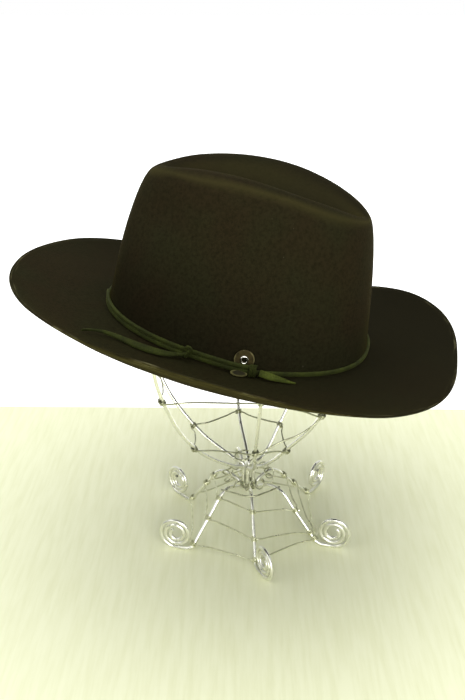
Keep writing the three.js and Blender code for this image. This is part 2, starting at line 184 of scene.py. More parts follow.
def newMaterial(name):
    material = bpy.data.materials.new(name)
    material.use_nodes = True
    return material, material.node_tree.nodes["Principled BSDF"]


def addNode(material, kind, settings=None, output=0):
    # adds a shader node and returns one of its outputs; each setting is a choice of the node's own,
    # a number, a hex colour, or another node's output, which is then linked in
    tree = material.node_tree
    node = tree.nodes.new(f"ShaderNode{kind}")
    for name, value in (settings or {}).items():
        if isinstance(name, str) and hasattr(node, name):
            setattr(node, name, value)
        elif isinstance(value, bpy.types.NodeSocket):
            tree.links.new(value, node.inputs[name])
        else:
            node.inputs[name].default_value = linear(value) if isinstance(value, str) else value
    return node.outputs[output]


def connect(material, output, socket):
    material.node_tree.links.new(output, socket)


def blotches(material, size, low, high, detail=2, roughness=0.5, coords=None):
    # soft blotches about size millimetres across, from 0 to 1; low and high set how sharply they part
    coords = coords or addNode(material, "TexCoord", output="Object")
    grain = {"Vector": coords, "Scale": 1 / (size * mm), "Detail": detail, "Roughness": roughness}
    clouds = addNode(material, "TexNoise", grain)
    return addNode(material, "MapRange", {"Value": clouds, "From Min": low, "From Max": high})


feltLook = {
    "olive": "#242314",
    "brown": "#262013",
    "dark": "#19170b",
    "lint": "#39362a",
    "nap": "#433e20",  # paler band under the brim's edge
    "underBandStreak": "#1b180b",  # darker streaks in that band
    # pale flecks on the brim's lip: partly wear, partly a painted highlight where the cut edge catches
    # light
    "worn": "#5d593f",
    "ridge": "#3d391e",  # painted highlight along the crown's upper edge
    "flat": "#1a180e",  # painted shade where the felt faces up
    "footShade": "#060502",  # painted shade, mixed in round the crown's foot beside the brim and lace
    "patch": 55,  # mm across the slow changes of colour
    "mottle": 2.6,  # mm; real felt is finer, drawn coarse enough to show
    "speck": 2.2,  # mm; flecks of lint
    "fibre": 0.7,  # mm
    "underBandDepth": (12, 5),  # mm from the brim's edge: where the paler band begins, and where it is full
    "lipDepth": (4.5, 2),  # mm, the same for the pale flecks on the lip
    "streak": 26,  # mm along the edge
    "streakChange": 34,  # how fast the streaks change away from the edge
    "sheen": 0.06,  # pale fuzz
    "sheenTint": "#a8962a",
}


def woolFelt():
    # pressed wool felt: quite matt and dark, with a pale fuzz where it turns away from the eye
    look = feltLook
    material, shader = newMaterial("pressedWoolFelt")
    colour = look["olive"]
    for share, second in (
        (blotches(material, look["patch"], 0.38, 0.62), "brown"),
        (blotches(material, look["mottle"], 0.42, 0.75, 4, 0.7), "dark"),
        (blotches(material, look["speck"], 0.88, 0.94, 0), "lint"),
        # painted shade where the felt faces up
        (addNode(material, "Attribute", {"attribute_name": "paintedUpShade"}, "Fac"), "flat"),
        # painted highlight along the crown's upper edge
        (addNode(material, "Attribute", {"attribute_name": "ridge"}, "Fac"), "ridge"),
        # painted shade round the crown's foot
        (addNode(material, "Attribute", {"attribute_name": "foot"}, "Fac"), "footShade"),
    ):
        colour = addNode(material, "Mix", {"data_type": "RGBA", 0: share, 6: colour, 7: look[second]}, 2)
    # the brim's edge: a paler streaky band underneath, and pale flecks on top, partly wear and partly a
    # painted highlight where the cut edge catches light
    toEdge = addNode(material, "Attribute", {"attribute_name": "edgeDistance"}, "Fac")
    below = addNode(material, "Attribute", {"attribute_name": "underside"}, "Fac")
    across = addNode(material, "Math", {"operation": "MULTIPLY", 0: toEdge, 1: look["streakChange"]})
    coords = addNode(material, "TexCoord", output="Object")
    grain = {"noise_dimensions": "4D", "Scale": 1 / (look["streak"] * mm), "Detail": 5, "Roughness": 0.65}
    streaks = addNode(material, "TexNoise", {**grain, "Vector": coords, "W": across})
    hairs = addNode(material, "MapRange", {"Value": streaks, "From Min": 0.36, "From Max": 0.62})
    nap = addNode(material, "Mix", {"data_type": "RGBA", 0: hairs, 6: look["underBandStreak"], 7: look["nap"]}, 2)
    worn = addNode(material, "MapRange", {"Value": streaks, "From Min": 0.54, "From Max": 0.64})
    for depth, where, second in (("underBandDepth", below, nap), ("lipDepth", worn, look["worn"])):
        begin, full = look[depth]
        ends = {"From Min": begin * mm, "From Max": full * mm}
        near = addNode(material, "MapRange", {"Value": toEdge, **ends})
        share = addNode(material, "Math", {"operation": "MULTIPLY", 0: near, 1: where})
        colour = addNode(material, "Mix", {"data_type": "RGBA", 0: share, 6: colour, 7: second}, 2)
    connect(material, colour, shader.inputs["Base Color"])
    fibres = blotches(material, look["fibre"], 0, 1, 5, 0.75)
    relief = addNode(material, "Bump", {"Height": fibres, "Strength": 0.55, "Distance": 0.35 * mm})
    connect(material, relief, shader.inputs["Normal"])
    shader.inputs["Roughness"].default_value = 0.95
    shader.inputs["Specular IOR Level"].default_value = 0.03
    shader.inputs["Sheen Weight"].default_value = look["sheen"]
    shader.inputs["Sheen Roughness"].default_value = 0.3
    shader.inputs["Sheen Tint"].default_value = linear(look["sheenTint"])
    return material


suedeLook = {
    "base": "#262b09",
    "light": "#343b0e",
    "dark": "#181a07",
    "blotch": 9,  # mm
    "nap": 1.1,  # mm; real nap is finer, drawn coarse enough to show
    "fibre": 0.5,  # mm
    "sheenTint": "#a3a42a",
}


def suede(name, look):
    # split leather: a short soft nap, darker where it is rubbed down
    material, shader = newMaterial(name)
    colour = look["base"]
    for share, second in (
        (blotches(material, look["blotch"], 0.35, 0.65), "light"),
        (blotches(material, look["nap"], 0.48, 0.8, 4, 0.7), "dark"),
    ):
        colour = addNode(material, "Mix", {"data_type": "RGBA", 0: share, 6: colour, 7: look[second]}, 2)
    connect(material, colour, shader.inputs["Base Color"])
    fibres = blotches(material, look["fibre"], 0, 1, 4, 0.7)
    relief = addNode(material, "Bump", {"Height": fibres, "Strength": 0.4, "Distance": 0.25 * mm})
    connect(material, relief, shader.inputs["Normal"])
    shader.inputs["Roughness"].default_value = 0.85
    shader.inputs["Specular IOR Level"].default_value = 0.2
    shader.inputs["Sheen Weight"].default_value = 0.1
    shader.inputs["Sheen Roughness"].default_value = 0.35
    shader.inputs["Sheen Tint"].default_value = linear(look["sheenTint"])
    return material


leatherLook = {
    "dark": "#322c15",
    "light": "#463d1f",
    "worn": "#6b6540",
    "blotch": 4,  # mm
    "edge": (1.0, 0.4),  # mm from the rim: where its worn edge begins, and where it is full
    "edgePatch": 5,  # mm
    "pore": 0.8,  # mm
}


def leather(name, look):
    # thick vegetable-tanned leather: warm brown, smooth and slightly shiny, paler on its worn edge
    material, shader = newMaterial(name)
    share = blotches(material, look["blotch"], 0.35, 0.65, 3)
    colour = addNode(material, "Mix", {"data_type": "RGBA", 0: share, 6: look["dark"], 7: look["light"]}, 2)
    toRim = addNode(material, "Attribute", {"attribute_name": "rimDistance"}, "Fac")
    begin, full = look["edge"]
    ends = {"From Min": begin * mm, "From Max": full * mm}
    near = addNode(material, "MapRange", {"Value": toRim, **ends})
    patchy = blotches(material, look["edgePatch"], 0.35, 0.55)
    share = addNode(material, "Math", {"operation": "MULTIPLY", 0: near, 1: patchy})
    colour = addNode(material, "Mix", {"data_type": "RGBA", 0: share, 6: colour, 7: look["worn"]}, 2)
    connect(material, colour, shader.inputs["Base Color"])
    pores = blotches(material, look["pore"], 0, 1, 3, 0.6)
    relief = addNode(material, "Bump", {"Height": pores, "Strength": 0.35, "Distance": 0.2 * mm})
    connect(material, relief, shader.inputs["Normal"])
    shader.inputs["Roughness"].default_value = 0.7
    shader.inputs["Specular IOR Level"].default_value = 0.15
    return material


nickelLook = {"bright": "#efeee6", "dull": "#d9d6c8", "wear": 1.5, "roughness": (0.1, 0.26)}  # wear in mm


def nickelPlate():
    # bright nickel: a clean mirror that only the finest scratches dull
    look = nickelLook
    material, shader = newMaterial("nickelPlatedBrass")
    wear = blotches(material, look["wear"], 0.2, 0.8, 3)
    colour = addNode(material, "Mix", {"data_type": "RGBA", 0: wear, 6: look["bright"], 7: look["dull"]}, 2)
    connect(material, colour, shader.inputs["Base Color"])
    smoothest, roughest = look["roughness"]
    rough = addNode(material, "MapRange", {"Value": wear, "To Min": smoothest, "To Max": roughest})
    connect(material, rough, shader.inputs["Roughness"])
    shader.inputs["Metallic"].default_value = 1
    return material


wireLook = {
    "bright": "#fafaf2",
    "dull": "#ecece0",
    "wear": 7,  # mm across the places where it was handled
    "roughness": (0.22, 0.4),
    "dieMark": 0.9,  # mm; real ones are finer, drawn coarse enough to show
}


def drawnWire(name, look):
    # drawn wire: a soft mirror, a little dulled where it was handled
    material, shader = newMaterial(name)
    wear = blotches(material, look["wear"], 0.3, 0.7, 3)
    colour = addNode(material, "Mix", {"data_type": "RGBA", 0: wear, 6: look["bright"], 7: look["dull"]}, 2)
    connect(material, colour, shader.inputs["Base Color"])
    smoothest, roughest = look["roughness"]
    rough = addNode(material, "MapRange", {"Value": wear, "To Min": smoothest, "To Max": roughest})
    connect(material, rough, shader.inputs["Roughness"])
    dieMarks = blotches(material, look["dieMark"], 0, 1)
    relief = addNode(material, "Bump", {"Height": dieMarks, "Strength": 0.12, "Distance": 0.1 * mm})
    connect(material, relief, shader.inputs["Normal"])
    shader.inputs["Metallic"].default_value = 1
    return material


feltMaterial = woolFelt()
suedeMaterial = suede("oliveSuede", suedeLook)
# a lighter copy of the suede for the lace's back end
tipMaterial = suede("lighterSuedeEnd", {**suedeLook, "base": "#39410f", "light": "#4c551b"})
discMaterial = leather("vegetableTannedLeather", leatherLook)
# painted shade: a darker copy of the disc's leather for the tab, which faces up under the laces
tabLook = {**leatherLook, "dark": "#1c1a0b", "light": "#26230f", "worn": "#56532f"}
tabMaterial = leather("shadedTabLeather", tabLook)
nickelMaterial = nickelPlate()
wireMaterial = drawnWire("brightDrawnAluminiumWire", wireLook)
# the thin wire is darker, partly a duller wire and partly painted shade where the dark hat hangs over it;
# round the legs a lighter copy paints the light that falls on it there
bindingLook = {**wireLook, "bright": "#cdceb2", "dull": "#999a7e", "roughness": (0.24, 0.42)}
bindingMaterial = drawnWire("shadedGalvanisedWire", bindingLook)
brightBinding = drawnWire("litBindingWire", {**bindingLook, "bright": "#f2f3d8", "dull": "#cccda9"})
print("materials made")

cameraView = {
    "fromPost": (0.658, -0.0045),  # metres from the stand's post, on the wearer's left
    "height": 0.452,
    "down": 23.73,  # degrees
    "aside": -0.8,
    "lens": 46.29,
}
postCentre = boxCentre("stand_post")
postAxis = Vector((postCentre.x, postCentre.y, 0))


def makeCamera():
    values = cameraView
    down, aside = math.radians(values["down"]), math.radians(values["aside"])
    level = math.cos(down)
    forward = Vector((-math.cos(aside) * level, math.sin(aside) * level, -math.sin(down)))
    bpy.ops.object.camera_add()
    camera = bpy.context.object
    camera.name = "camera"
    x, y = values["fromPost"]
    camera.location = (postCentre.x + x, postCentre.y + y, values["height"])
    camera.rotation_euler = forward.to_track_quat("-Z", "Y").to_euler()
    camera.data.lens = values["lens"]
    bpy.context.scene.camera = camera


makeCamera()
print("camera placed")

# The lace's free end at the front is a flat cord that tapers to a point.
laceCorner = 0.5  # how sharp the corners of the flat lace stay, up to 1
laceFat = 0.25  # mm the two strands swell, until they touch


def ringCentres(piece, count, axis):
    # middles of the rings of points that a strip is made of, in order along an axis
    points = sorted((v.co.copy() for v in piece.data.vertices), key=lambda p: -p[axis])
    rings = [points[i : i + count] for i in range(0, len(points), count)]
    return [sum(ring, Vector()) / len(ring) for ring in rings]


def makeFrontEnd():
    # returns its line, which the knot takes up
    piece = copyOf("lace_end_front", "laceEndFront")
    path = ringCentres(piece, 6, 1)
    smoothFlat(piece, 2, laceCorner)
    done(piece, suedeMaterial, "suede", "lace_end_front")
    return path


frontEndPath = makeFrontEnd()
print("free lace end laid")

# The hat's own directions on its stand: it is turned aside, tipped along its length and leans across it.
hatPose = {"turn": -11, "tip": -10.4, "lean": -3.45}  # degrees
hatTurn = Euler((0, 0, math.radians(hatPose["turn"]))).to_matrix()
hatTurn = hatTurn @ Euler((math.radians(hatPose["tip"]), 0, 0)).to_matrix()
hatTurn = hatTurn @ Euler((0, math.radians(hatPose["lean"]), 0)).to_matrix()

feltShape = {
    "levels": 2,
    "waves": ((60, 0.5), (22, 0.22)),  # size across and height of the hand-shaped unevenness, mm
    "ridge": 42,  # mm above the middle; higher than this a slanting face is the crown's upper edge
    "foot": -52,  # mm above the middle, where the crown's side begins
    "outermost": 140,  # mm from the middle; beyond this an upright face belongs to the brim's edge
    "brim": 20,  # mm from the brim's edge; the crown's side is further in
}
feltPaintedLight = {  # shares from 0 to 1
    "upShade": 0.25,  # painted shade where the felt faces up,
    "upShadeBehind": 0.6,  # more of it towards the back,
    "upShadeAside": 0.4,  # and less towards the wearer's left
    "upShadeReach": 120,  # mm from the middle over which those two come in
    "rubbed": 0.55,  # painted highlight along the crown's upper edge
    "rubbedSlant": (0.72, 0.24),  # how far up a highlighted face looks, and how much that may differ
    "rubbedFade": 10,  # mm
    "footShade": 0.42,  # painted shade round the crown's foot
    "footShadeHeight": 75,  # mm, where none is left,
    "footShadeFade": 60,  # mm below that where all of it is there
    "footShadeBack": (90, 130, 0.3),  # mm behind the middle where it runs out, mm it takes, and what stays
}


def noteFelt(piece):
    # for the felt's colour: how far each point is from the brim's edge, and where shade and a highlight are
    # painted on the felt
    wear = feltPaintedLight
    slant, slantWidth = wear["rubbedSlant"]
    thin, thinning, least = wear["footShadeBack"]
    middle = boxCentre("felt_body")
    left, back, up = (hatTurn @ Vector(way) for way in ((1, 0, 0), (0, 1, 0), (0, 0, 1)))
    points = piece.data.vertices
    facing = [point.normal.dot(up) for point in points]
    edge = []
    for point, face in zip(points, facing):
        flat = point.co - middle
        flat -= up * flat.dot(up)
        if abs(face) < 0.6 and flat.length > feltShape["outermost"] * mm:
            edge.append(point.co)
    tree = kdtree.KDTree(len(edge))
    for number, place in enumerate(edge):
        tree.insert(place, number)
    tree.balance()
    attributes = piece.data.attributes
    for name in ("edgeDistance", "underside", "paintedUpShade", "ridge", "foot"):
        attributes.new(name, "FLOAT", "POINT")
    for number, (point, face) in enumerate(zip(points, facing)):
        toEdge = tree.find(point.co)[2]
        place = (point.co - middle) / mm
        aside, behind, height = place.dot(left), place.dot(back), place.dot(up)
        upShade = wear["upShade"] + wear["upShadeBehind"] * clamp(behind / wear["upShadeReach"])
        upShade -= wear["upShadeAside"] * clamp(aside / wear["upShadeReach"], -1)
        onRidge = clamp((height - feltShape["ridge"]) / wear["rubbedFade"])
        onRidge *= max(0, 1 - abs(face - slant) / slantWidth)
        # painted shade: darkest beside the knot, and fading out three quarters of the way up the crown's
        # side
        onWall = clamp(1.9 - 2.5 * abs(face)) if toEdge > feltShape["brim"] * mm else 0
        low = clamp((feltShape["foot"] + wear["footShadeHeight"] - height) / wear["footShadeFade"])
        notes = {
            "edgeDistance": toEdge,
            "underside": clamp(0.5 - 2 * face),
            "paintedUpShade": max(0, upShade) * clamp(2 * face - 0.8),
            "ridge": wear["rubbed"] * onRidge,
            "foot": wear["footShade"] * onWall * low * clamp((thin - behind) / thinning, least),
        }
        for name, value in notes.items():
            attributes[name].data[number].value = value


def makeFelt():
    piece = copyOf("felt_body", "feltHat")
    smooth(piece, feltShape["levels"])
    for vertex in piece.data.vertices:
        place = vertex.co / mm
        # both skins move together, so the felt keeps its thickness
        lift = sum(height * noise.noise(place / size) for size, height in feltShape["waves"])
        vertex.co.z += lift * mm
    noteFelt(piece)
    done(piece, feltMaterial, "felt", "felt_body")


makeFelt()
print("felt shaped")


def makeLaces():
    for node, name, material in (
        ("lace_band", "laceBand", suedeMaterial),
        ("lace_second_round", "laceSecondRound", suedeMaterial),
        ("lace_end_back", "laceEndBack", tipMaterial),
    ):
        piece = copyOf(node, name)
        smoothFlat(piece, 2, laceCorner)
        if node != "lace_end_back":
            modify(piece, "DISPLACE", strength=laceFat * mm, mid_level=0)
        done(piece, material, "suede", node)


makeLaces()


def onSide(node, around):
    # a place on the crown's side: x along the lace, y up the crown, z out of it
    angle = math.radians(around)
    out = hatTurn @ Vector((math.sin(angle), -math.cos(angle), 0))
    up = hatTurn @ Vector((0, 0, 1))
    turned = Matrix((up.cross(out), up, out)).transposed().to_4x4()
    return Matrix.Translation(boxCentre(node)) @ turned


knotShape = {
    "around": 77.3,  # degrees round the crown from the front
    "ring": (2.2, 1.05),  # the little loop: radius and half thickness of the lace in it
    "ringPlace": (0.9, 3.8, 1.4),  # along the lace, up the crown and out of it
    "ringArc": (-140, 300),  # degrees: where the loop starts, and how far it goes round
    "ringTip": 0.9,  # how far it leans out
    "wrap": (3.3, 2.4),  # half height and half depth of the turn round both strands
    "wrapSlant": 0.35,
    "wrapSink": 0.6,
    "lace": 1.0,  # half thickness of the lace in the turn
    "stub": 1.5,
    "stubSink": 0.6,
}


def makeKnot():
    # the lace's hitch: one slanted turn round both strands, and the small loop on top of it
    values = knotShape
    high, deep = values["wrap"]
    turn = []
    for k in range(12):
        angle = k / 12 * fullTurn
        up, out = high * math.cos(angle), deep * math.sin(angle) - values["wrapSink"]
        turn.append(Vector((values["wrapSlant"] * up, up, out)) * mm)
    wrap = roundWire("wrap", turn, values["lace"] * mm, True)
    radius, half = values["ring"]
    start, arc = values["ringArc"]
    ring = []
    for k in range(13):
        angle = math.radians(start + arc * k / 12)
        along, up = math.sin(angle), math.cos(angle)
        point = Vector((along * radius, up * radius, values["ringTip"] * up))
        ring.append((Vector(values["ringPlace"]) + point) * mm)
    piece = joined([wrap, roundWire("ring", ring, half * mm)], "laceKnot")
    settle(piece, onSide("lace_knot", values["around"]))
    # the free end comes out from under it
    knot = boxCentre("lace_knot")
    path = [knot.lerp(frontEndPath[0], t) for t in (0.1, 0.6)] + frontEndPath[:2]
    path[1].z -= values["stubSink"] * mm
    piece = joined([piece, roundWire("stub", path, values["stub"] * mm)], "laceKnot")
    done(piece, suedeMaterial, "suede", "lace_knot")


bindingShape = {
    "around": 107.2,
    "turns": 4,
    "pitch": 1.3,
    "half": (4.3, 2.3),  # half height and half depth of the turns
    "out": 1.3,
    "strip": 0.6,  # half thickness
}


def makeBinding():
    # a thin strip of the lace wound tightly round both strands behind the disc
    values = bindingShape
    high, deep = values["half"]
    points = []
    for k in range(values["turns"] * 12 + 1):
        turn = k / 12 * fullTurn
        along = (k / 12 - values["turns"] / 2) * values["pitch"]
        up, out = high * math.cos(turn), deep * (math.sin(turn) - 1) + values["out"]
        points.append(Vector((along, up, out)) * mm)
    piece = roundWire("laceBinding", points, values["strip"] * mm, fineness=3)
    settle(piece, onSide("lace_binding", values["around"]))
    done(piece, suedeMaterial, "suede", "lace_binding")


def noteRim(piece, halfLength, halfWidth):
    # for the leather's colour: how far each point is from the round rim
    distance = piece.data.attributes.new("rimDistance", "FLOAT", "POINT")
    for number, point in enumerate(piece.data.vertices):
        share = math.hypot(point.co.x / (halfLength * mm), point.co.y / (halfWidth * mm))
        distance.data[number].value = (1 - share) * halfWidth * mm


tabShape = {
    "half": (6.2, 2.7),  # half length and half width
    "thickness": 1.0,
    "rim": (0.25, 0.3),  # widths of the two rings of faces that carry its worn edge
    "place": (-9.4, -3.2, -1.0),  # along the lace, up the crown and out of it, from the binding's middle
    "tilt": 58,
}


def makeTab():
    # the leather tab that the laces are bound to; its front edge shows under them, on the brim
    values = tabShape
    bpy.ops.mesh.primitive_cylinder_add(
        vertices=48, radius=mm, depth=values["thickness"] * mm, location=(0, 0, 0)
    )
    piece = bpy.context.object
    piece.name = "laceTab"
    bpy.ops.object.mode_set(mode="EDIT")
    bpy.ops.mesh.select_mode(type="FACE")
    bpy.ops.mesh.select_all(action="DESELECT")
    bpy.ops.object.mode_set(mode="OBJECT")
    for face in piece.data.polygons:
        face.select = abs(face.normal.z) > 0.9
    bpy.ops.object.mode_set(mode="EDIT")
    for depth in values["rim"]:
        bpy.ops.mesh.inset(thickness=depth * mm)
    bpy.ops.mesh.select_mode(type="VERT")
    bpy.ops.object.mode_set(mode="OBJECT")
    settle(piece, Matrix.Diagonal((*values["half"], 1, 1)))
    modify(piece, "BEVEL", width=0.25 * mm, segments=2, limit_method="ANGLE")
    noteRim(piece, *values["half"])
    bpy.ops.object.shade_smooth_by_angle(angle=math.radians(40))
    tilt = Euler((math.radians(-values["tilt"]), 0, 0)).to_matrix().to_4x4()
    settle(piece, Matrix.Translation(Vector(values["place"]) * mm) @ tilt)
    settle(piece, onSide("lace_binding", bindingShape["around"]))
    done(piece, tabMaterial, "disc")


makeKnot()
makeBinding()
makeTab()

rosetteShape = {
    "around": 103,
    "radius": 7.3,
    "thickness": 1.4,
    "hole": 1.9,
    "ring": (1.8, 3.4, 0.5),  # the eyelet's inner and outer radius, and how far its roll stands out
}


def turnedRing(name, profile, sides):
    # a ring turned from a closed profile of radius and height
    radius, height = profile[0]
    bpy.ops.mesh.primitive_circle_add(vertices=sides, radius=radius * mm, location=(0, 0, height * mm))
    ring = bpy.context.object
    ring.name = name
    solo(ring)
    bpy.ops.object.mode_set(mode="EDIT")
    bpy.ops.mesh.select_all(action="SELECT")
    for nextRadius, nextHeight in (*profile[1:], profile[0]):
        bpy.ops.mesh.extrude_edges_move()
        factor = nextRadius / radius
        bpy.ops.transform.resize(value=(factor, factor, 1), center_override=(0, 0, 0))
        bpy.ops.transform.translate(value=(0, 0, (nextHeight - height) * mm))
        radius, height = nextRadius, nextHeight
    bpy.ops.mesh.select_all(action="SELECT")
    bpy.ops.mesh.remove_doubles(threshold=0.001 * mm)
    bpy.ops.mesh.normals_make_consistent(inside=False)
    bpy.ops.object.mode_set(mode="OBJECT")
    bpy.ops.object.transform_apply(location=True, rotation=True, scale=True)
    bpy.ops.object.shade_smooth_by_angle(angle=math.radians(50))
    return ring


def makeRosette():
    values = rosetteShape
    outer, hole, half = values["radius"], values["hole"], values["thickness"] / 2
    face = [(hole, -half), (outer - 0.3, -half), (outer, -half + 0.3), (outer, half - 0.4)]
    face += [(outer - 0.2, half - 0.1), (outer - 0.6, half), (outer - 1.6, half - 0.1), (hole, half)]
    disc = turnedRing("rosetteDisc", face, 64)
    modify(disc, "BEVEL", width=0.1 * mm, segments=2, limit_method="ANGLE")
    noteRim(disc, outer, outer)
    settle(disc, onSide("rosette_disc", values["around"]))
    done(disc, discMaterial, "disc", "rosette_disc")
    low, rim, high = values["ring"]
    lip = [(low, -0.45), (rim, -0.45), (rim - 0.08, -0.1), (rim - 0.4, high - 0.1), ((low + rim) / 2, high)]
    lip += [(low + 0.3, high - 0.1), (low, high - 0.5)]
    ring = turnedRing("rosetteEyelet", lip, 48)
    settle(ring, onSide("rosette_eyelet", values["around"]))
    done(ring, nickelMaterial, "eyelet", "rosette_eyelet")


makeRosette()
print("laces, knot and rosette made")

standShape = {
    "heavy": 1.5,  # wire radii in mm
    "light": 0.65,
    "shoulder": [(23, 43.5), (13, 41)],  # reach and height, from the leg's run inwards
    "topHeight": 40,  # a leg's straight run goes down from here,
    "legEnd": 4,  # to here
    "run": (1, 0.85, 0.6, 0.3, 0),  # shares of the run
    "foot": 6,  # height of the lowest ring
    "strand": [(4.7, 37.5), (4.6, 42), (4.6, 51), (4.7, 55.5)],
    "root": (14, 60),  # reach and height of a rib's root
    "bow": (0.62, 3),  # half way up from high ring to rim: share of the reach between them, and mm more
    "bowlShift": -5,
}
# The six wires, going round from the one under the wearer's left side. A leg has its angle in degrees, its
# reach at the top and end of its run, the angle and reach of its coil, and two rings' heights; a rib has
# the reach and height of each of its three rings.
standWires = (
    {
        "leg": {"angle": 5, "top": 31, "end": 65.5, "coil": 27, "out": 14, "low": 18, "high": 34},
        "strand": -10,
        "rib": {"angle": 13, "low": (43, 93), "high": (60, 146), "rim": (70, 212)},
    },
    {
        "leg": {"angle": 59, "top": 33.5, "end": 65.5, "coil": 76, "out": 14.5, "low": 10.5, "high": 27},
        "strand": 55,
        "rib": {"angle": 65, "low": (39, 81), "high": (68, 120), "rim": (80, 212)},
    },
    {
        "leg": {"angle": 126.5, "top": 31, "end": 66.5, "coil": 146, "out": 16, "low": 21, "high": 33},
        "strand": 120,
        "rib": {"angle": 125, "low": (38, 84), "high": (62, 128), "rim": (80, 212)},
    },
    {
        "leg": {"angle": 184, "top": 31, "end": 61, "coil": 195, "out": 15, "low": 20, "high": 33},
        "strand": 180,
        "rib": {"angle": 185, "low": (43, 85), "high": (62, 126), "rim": (70, 212)},
    },
    {
        "leg": {"angle": 241, "top": 31, "end": 58, "coil": 223, "out": 18, "low": 26, "high": 36},
        "strand": 240,
        "rib": {"angle": 245, "low": (46, 84), "high": (80, 130), "rim": (86, 212)},
    },
    {
        "leg": {"angle": 313, "top": 31, "end": 63.5, "coil": 257, "out": 13.5, "low": 24, "high": 38},
        "strand": 290,
        "rib": {"angle": 305, "low": (47, 88), "high": (75, 138), "rim": (84, 212)},
    },
)
coilShape = {"turns": 2.4, "outer": 13.8, "inner": 4.2, "start": -100, "perTurn": 12}


def standPoint(angle, reach, height):
    turn = math.radians(angle)
    flat = Vector((math.cos(turn), math.sin(turn), 0)) * reach * mm
    return postAxis + flat + Vector((0, 0, height * mm))


def runPoint(leg, height):
    # a place on the leg's straight run, by its height
    top = standShape["topHeight"]
    share = (top - height) / (top - standShape["legEnd"])
    return standPoint(leg["angle"], leg["top"] + (leg["end"] - leg["top"]) * share, height)


def bowlPoint(rib, place):
    return standPoint(rib["angle"], *place) + Vector((0, standShape["bowlShift"] * mm, 0))


def coilPoints(leg):
    # from the coil's free inner end out to where the leg begins
    values = coilShape
    turned = math.radians(leg["coil"])
    outward = Vector((math.cos(turned), math.sin(turned), 0))
    centre = runPoint(leg, standShape["legEnd"]) + outward * leg["out"] * mm
    centre.z = (values["outer"] + standShape["heavy"]) * mm
    total = round(values["turns"] * values["perTurn"])
    points = []
    for i in range(total + 1):
        turn = i / values["perTurn"] * fullTurn + math.radians(values["start"])
        radius = values["outer"] + (values["inner"] - values["outer"]) * i / total
        points.append(centre + (outward * math.cos(turn) + Vector((0, 0, math.sin(turn)))) * radius * mm)
    return points[::-1]


def makeLongWires():
    # each long wire is one leg, one strand of the hub and one rib of the bowl
    share, bow = standShape["bow"]
    top = standShape["topHeight"]
    for index, wire in enumerate(standWires):
        leg, rib = wire["leg"], wire["rib"]
        points = coilPoints(leg)
        for t in standShape["run"]:
            points.append(runPoint(leg, top + (standShape["legEnd"] - top) * t))
        points += [standPoint(leg["angle"], *place) for place in standShape["shoulder"]]
        points += [standPoint(wire["strand"], *place) for place in standShape["strand"]]
        points.append(standPoint(rib["angle"], *standShape["root"]))
        high, rim = rib["high"], rib["rim"]
        middle = (high[0] + share * (rim[0] - high[0]) + bow, (high[1] + rim[1]) / 2)
        points += [bowlPoint(rib, place) for place in (rib["low"], high, middle, rim)]
        piece = roundWire(f"standWire{index + 1}", points, standShape["heavy"] * mm)
        done(piece, wireMaterial, "wire", f"stand_leg_{index + 1}", f"stand_rib_{index + 1}")


webShape = {
    "legBow": 0.012,  # how far a ring bends in between two wires, as a share of its reach
    "bowlBow": 0.05,
    "wobble": 0.6,  # mm up and down
    "tie": 0.35,  # how far out the wraps sit, as a share of the way from wire to ring
}
wrapPlaces = []


def makeWeb(node, name, corners, directions, bow, material):
    # a thin wire ring outside the long wires, bent in a little between them
    clear = (standShape["heavy"] + standShape["light"]) * mm
    outer = []
    for corner, direction in zip(corners, directions):
        flat = (corner - postAxis) * Vector((1, 1, 0))
        out = direction.cross(flat.cross(direction)).normalized()
        outer.append(corner + out * clear)
        wrapPlaces.append((corner + out * clear * webShape["tie"], direction))
    points = []
    for i, corner in enumerate(outer):
        following = outer[(i + 1) % len(outer)]
        for t in (0, 0.3, 0.7):
            point = corner.lerp(following, t)
            bend = 1 - bow * math.sin(math.pi * t)
            point.x = postAxis.x + (point.x - postAxis.x) * bend
            point.y = postAxis.y + (point.y - postAxis.y) * bend
            if t:
                point.z += webShape["wobble"] * mm * math.sin(7 * i + 20 * t)
            points.append(point)
    piece = roundWire(name, points, standShape["light"] * mm, True)
    done(piece, material, "wire", node)


def makeWebs():
    for row, node in (("foot", "foot"), ("low", "leg_low"), ("high", "leg_high")):
        legs = [{"foot": standShape["foot"], **wire["leg"]} for wire in standWires]
        corners = [runPoint(leg, leg[row]) for leg in legs]
        ends = [runPoint(leg, leg[row] + 5) for leg in legs]
        directions = [(end - corner).normalized() for end, corner in zip(ends, corners)]
        name = f"standRingLeg{row.title()}"
        makeWeb(f"stand_web_{node}", name, corners, directions, webShape["legBow"], brightBinding)
    for row, towards, sign in (("low", "high", 1), ("high", "low", -1), ("rim", "high", -1)):
        ribs = [wire["rib"] for wire in standWires]
        corners = [bowlPoint(rib, rib[row]) for rib in ribs]
        ends = [bowlPoint(rib, rib[towards]) for rib in ribs]
        directions = [sign * (end - corner).normalized() for end, corner in zip(ends, corners)]
        node = "rim" if row == "rim" else f"bowl_{row}"
        name = f"standRingBowl{row.title()}"
        makeWeb(f"stand_web_{node}", name, corners, directions, webShape["bowlBow"], bindingMaterial)


wrapShape = {"turns": 3, "pitch": 1.25, "perTurn": 10, "oval": 1.15, "thin": 0.9}


